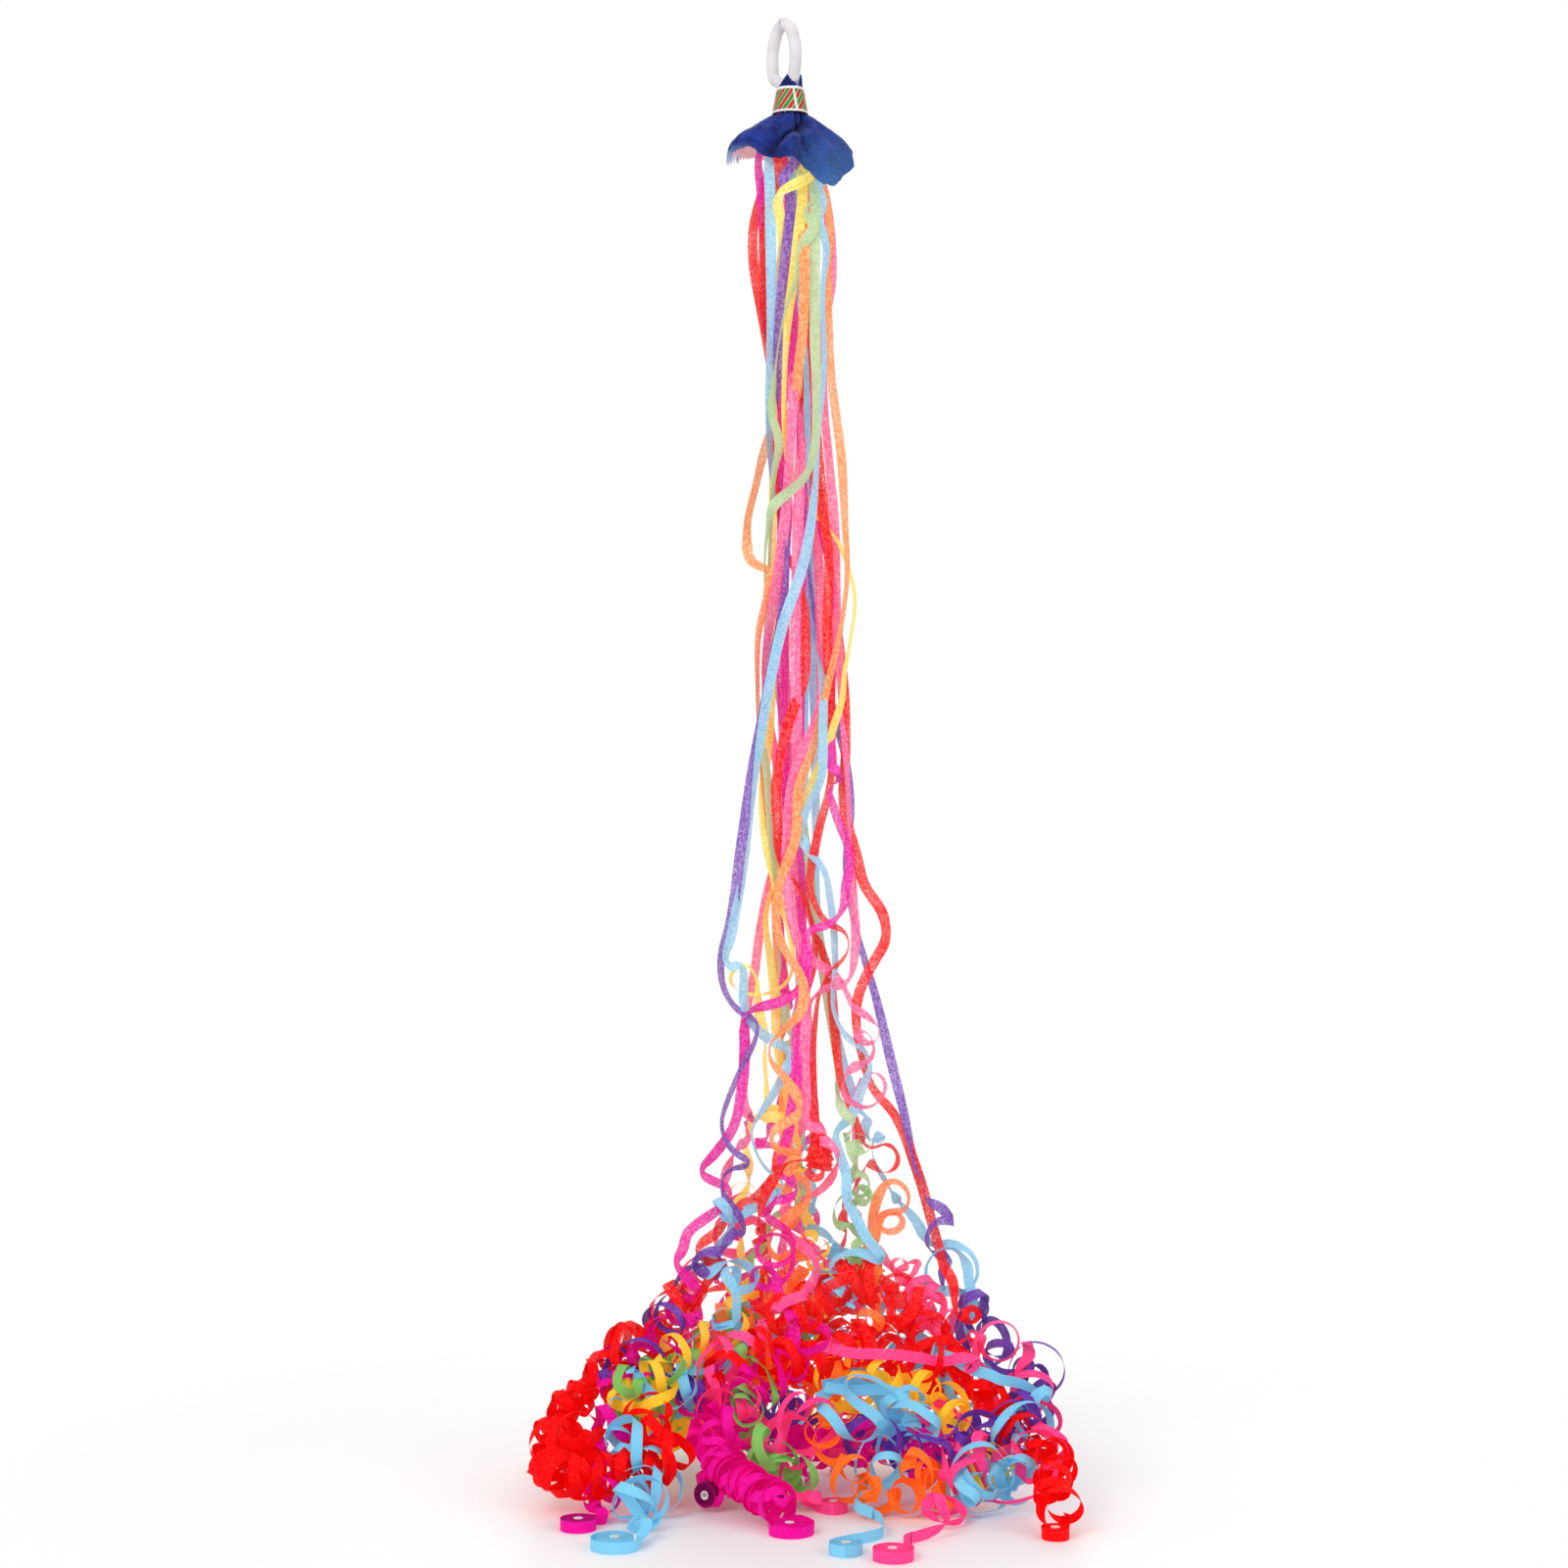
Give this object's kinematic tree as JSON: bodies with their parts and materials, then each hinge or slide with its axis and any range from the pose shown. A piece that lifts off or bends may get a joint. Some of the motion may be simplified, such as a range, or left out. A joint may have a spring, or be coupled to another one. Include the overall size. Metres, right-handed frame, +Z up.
{
  "type": "throw streamer",
  "caption": "Hand-thrown party streamer: a finger loop, a gathered tissue neck in a card sleeve, and coloured paper strips hanging from it and lying in curls, with small rolls at their ends.",
  "frame": {"origin": "underside of the finger loop's top arc, where a finger bears", "axes": "+X to the right and +Y away as seen from the front, +Z up"},
  "size_m": [0.331, 0.3773, 0.9479],
  "materials": {
    "soft_tube": "satin",
    "glue": "matte",
    "card": "satin",
    "thread": "matte",
    "tissue": "matte",
    "core": "matte",
    "paper_red": "matte",
    "paper_magenta": "matte",
    "paper_pink": "matte",
    "paper_blue": "matte",
    "paper_orange": "matte",
    "paper_yellow": "matte",
    "paper_green": "matte",
    "paper_purple": "matte"
  },
  "bodies": {
    "bundle": {"finger_loop": "soft_tube", "anchor_plug": "glue", "neck_sleeve": "card", "binding_thread": "thread", "tissue_wrapper": "tissue", "streamer_red_1": "paper_red", "streamer_red_2": "paper_red", "streamer_red_3": "paper_red", "streamer_red_4": "paper_red", "streamer_magenta_1": "paper_magenta", "streamer_magenta_2": "paper_magenta", "streamer_magenta_3": "paper_magenta", "streamer_magenta_4": "paper_magenta", "streamer_pink_1": "paper_pink", "streamer_pink_2": "paper_pink", "streamer_pink_3": "paper_pink", "streamer_pink_4": "paper_pink", "streamer_blue_1": "paper_blue", "streamer_blue_2": "paper_blue", "streamer_blue_3": "paper_blue", "streamer_blue_4": "paper_blue", "streamer_orange_1": "paper_orange", "streamer_orange_2": "paper_orange", "streamer_yellow_1": "paper_yellow", "streamer_yellow_2": "paper_yellow", "streamer_green_1": "paper_green", "streamer_green_2": "paper_green", "streamer_purple_1": "paper_purple", "streamer_purple_2": "paper_purple", "spent_cores": "core"},
    "red_1_roll": {"roll_red_1": "paper_red", "core_red_1": "core"},
    "red_2_roll": {"roll_red_2": "paper_red", "core_red_2": "core"},
    "magenta_1_roll": {"roll_magenta_1": "paper_magenta", "core_magenta_1": "core"},
    "magenta_2_roll": {"roll_magenta_2": "paper_magenta", "core_magenta_2": "core"},
    "magenta_3_roll": {"roll_magenta_3": "paper_magenta", "core_magenta_3": "core"},
    "pink_1_roll": {"roll_pink_1": "paper_pink", "core_pink_1": "core"},
    "pink_2_roll": {"roll_pink_2": "paper_pink", "core_pink_2": "core"},
    "blue_1_roll": {"roll_blue_1": "paper_blue", "core_blue_1": "core"},
    "blue_2_roll": {"roll_blue_2": "paper_blue", "core_blue_2": "core"},
    "blue_3_roll": {"roll_blue_3": "paper_blue", "core_blue_3": "core"},
    "orange_1_roll": {"roll_orange_1": "paper_orange", "core_orange_1": "core"},
    "yellow_1_roll": {"roll_yellow_1": "paper_yellow", "core_yellow_1": "core"},
    "green_1_roll": {"roll_green_1": "paper_green", "core_green_1": "core"},
    "purple_1_roll": {"roll_purple_1": "paper_purple", "core_purple_1": "core"}
  },
  "joints": [
    {"name": "red_1_unwinds", "type": "hinge", "parent": "bundle", "child": "red_1_roll", "pos_m": [0.16195, -0.15651, -0.9365], "axis": [0, 0, 1], "continuous": true},
    {"name": "red_2_unwinds", "type": "hinge", "parent": "bundle", "child": "red_2_roll", "pos_m": [-0.14338, 0.0427, -0.9365], "axis": [0, 0, 1], "continuous": true},
    {"name": "magenta_1_unwinds", "type": "hinge", "parent": "bundle", "child": "magenta_1_roll", "pos_m": [-0.12427, -0.13546, -0.9365], "axis": [0, 0, 1], "continuous": true},
    {"name": "magenta_2_unwinds", "type": "hinge", "parent": "bundle", "child": "magenta_2_roll", "pos_m": [-0.04719, -0.09368, -0.929], "axis": [-0.5592, -0.829, 0], "continuous": true},
    {"name": "magenta_3_unwinds", "type": "hinge", "parent": "bundle", "child": "magenta_3_roll", "pos_m": [0.00328, -0.14544, -0.9365], "axis": [0, 0, 1], "continuous": true},
    {"name": "pink_1_unwinds", "type": "hinge", "parent": "bundle", "child": "pink_1_roll", "pos_m": [0.0307, -0.09284, -0.9365], "axis": [0, 0, 1], "continuous": true},
    {"name": "pink_2_unwinds", "type": "hinge", "parent": "bundle", "child": "pink_2_roll", "pos_m": [0.06302, -0.20364, -0.9365], "axis": [0, 0, 1], "continuous": true},
    {"name": "blue_1_unwinds", "type": "hinge", "parent": "bundle", "child": "blue_1_roll", "pos_m": [-0.10001, -0.17864, -0.9365], "axis": [0, 0, 1], "continuous": true},
    {"name": "blue_2_unwinds", "type": "hinge", "parent": "bundle", "child": "blue_2_roll", "pos_m": [0.03607, -0.19095, -0.9365], "axis": [0, 0, 1], "continuous": true},
    {"name": "blue_3_unwinds", "type": "hinge", "parent": "bundle", "child": "blue_3_roll", "pos_m": [0.04747, 0.08645, -0.9365], "axis": [0, 0, 1], "continuous": true},
    {"name": "orange_1_unwinds", "type": "hinge", "parent": "bundle", "child": "orange_1_roll", "pos_m": [0.12066, 0.13396, -0.9365], "axis": [0, 0, 1], "continuous": true},
    {"name": "yellow_1_unwinds", "type": "hinge", "parent": "bundle", "child": "yellow_1_roll", "pos_m": [0.016, 0.15, -0.9365], "axis": [0, 0, 1], "continuous": true},
    {"name": "green_1_unwinds", "type": "hinge", "parent": "bundle", "child": "green_1_roll", "pos_m": [-0.08157, 0.1343, -0.9365], "axis": [0, 0, 1], "continuous": true},
    {"name": "purple_1_unwinds", "type": "hinge", "parent": "bundle", "child": "purple_1_roll", "pos_m": [0.16596, 0.043, -0.9365], "axis": [0, 0, 1], "continuous": true}
  ]
}
